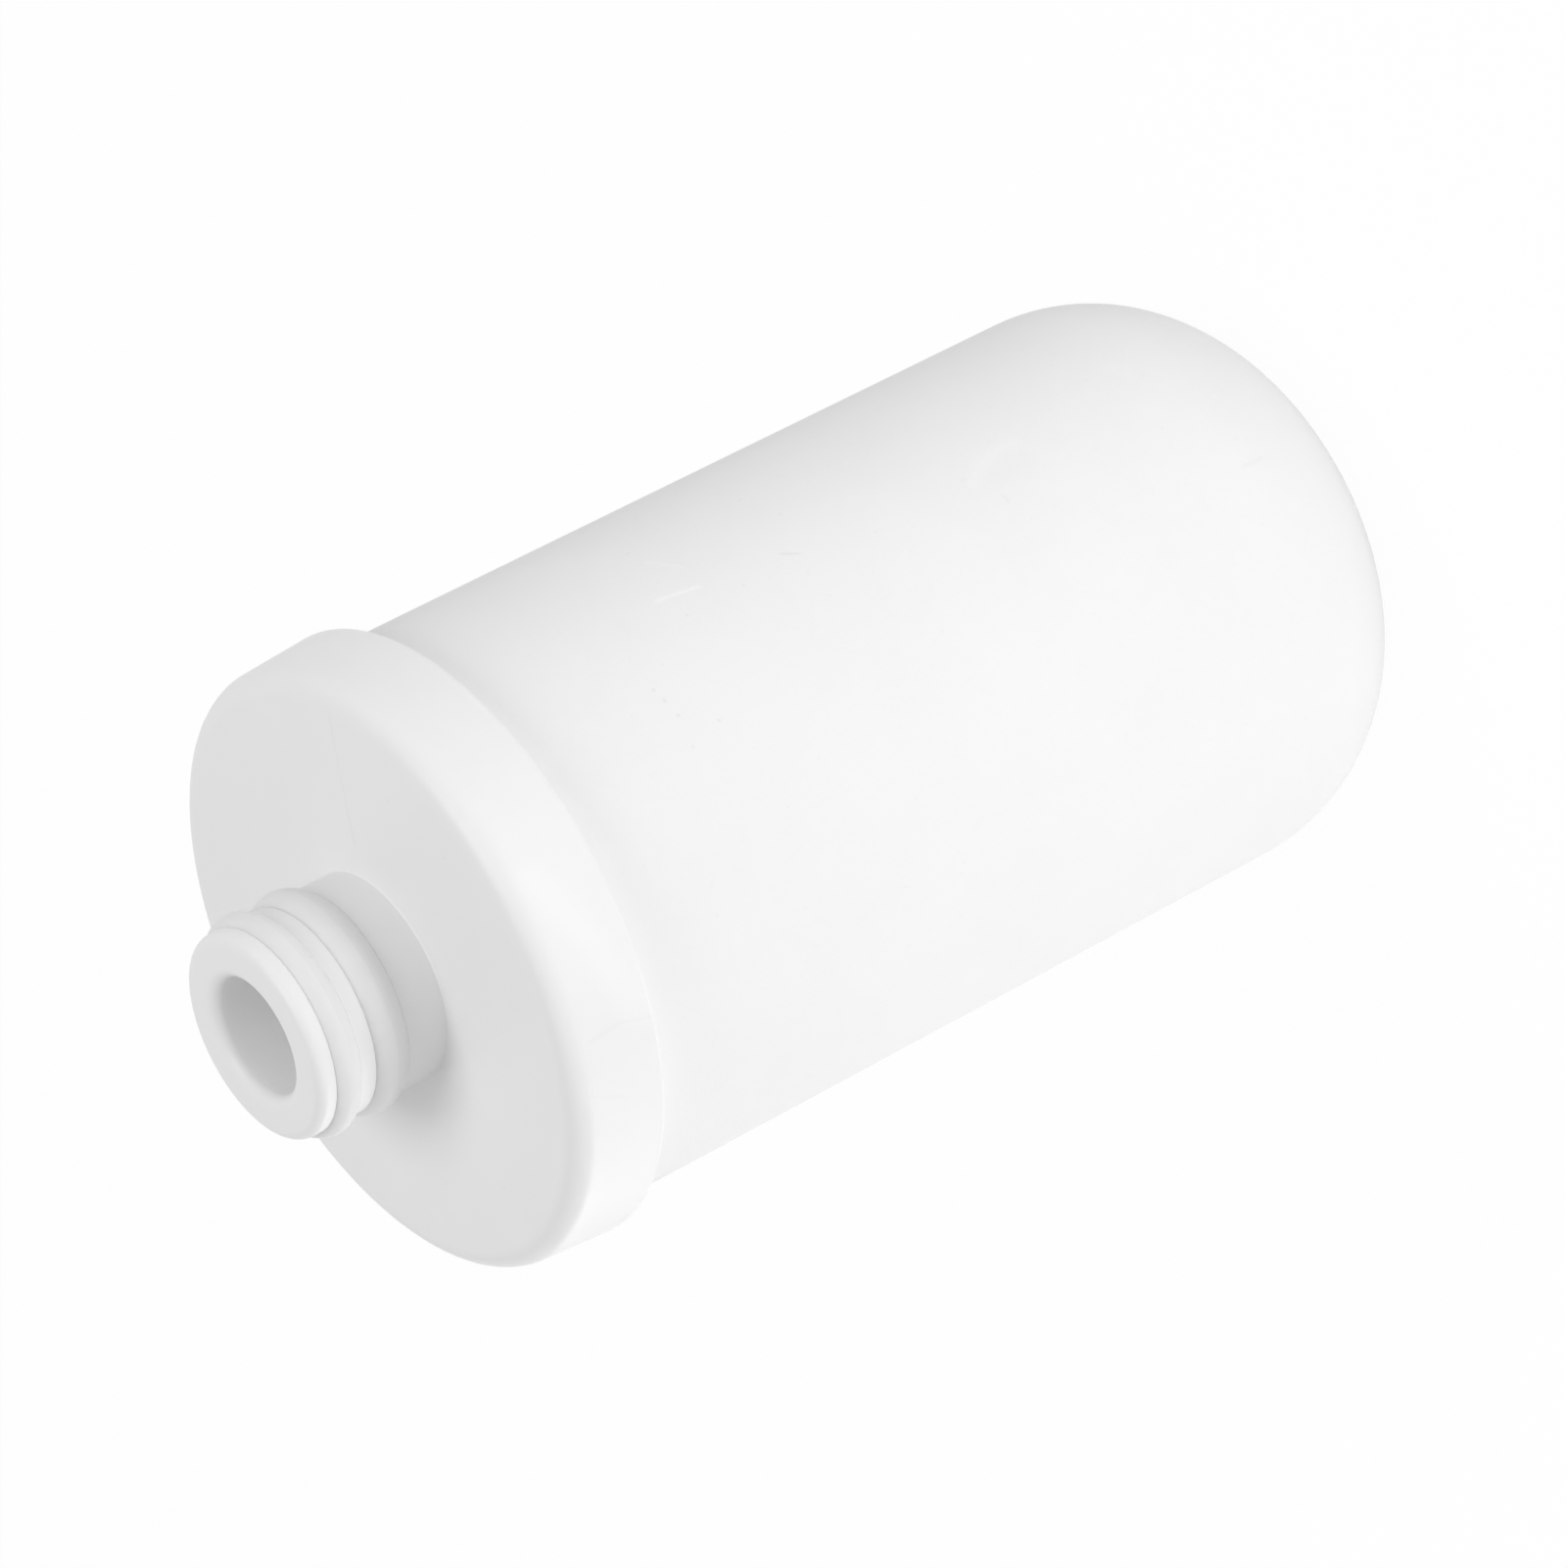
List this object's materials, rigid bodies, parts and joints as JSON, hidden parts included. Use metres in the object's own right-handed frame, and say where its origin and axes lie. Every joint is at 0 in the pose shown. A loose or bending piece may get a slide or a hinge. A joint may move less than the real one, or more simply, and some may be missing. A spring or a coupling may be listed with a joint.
{
  "type": "faucet water filter cartridge",
  "caption": "Porous ceramic cup bonded into a white plastic end cap whose bored spigot carries O-rings; filters tap water from the outside in.",
  "frame": {"origin": "centre of the flat closed end, on the surface that the cartridge stands on", "axes": "+Z along the cartridge's axis, from the closed end towards the spigot"},
  "size_m": [0.046, 0.046, 0.0919],
  "materials": {
    "porous_ceramic": "matte",
    "white_plastic": "satin",
    "silicone": "satin",
    "cured_bond": "satin",
    "felt": "matte",
    "carbon_granules": "matte"
  },
  "bodies": {
    "root": {"ceramic_cup": "porous_ceramic", "end_cap": "white_plastic", "front_o_ring": "silicone", "rear_o_ring": "silicone", "bond_ring": "cured_bond", "outlet_pad": "felt", "carbon_fill": "carbon_granules"}
  },
  "joints": []
}
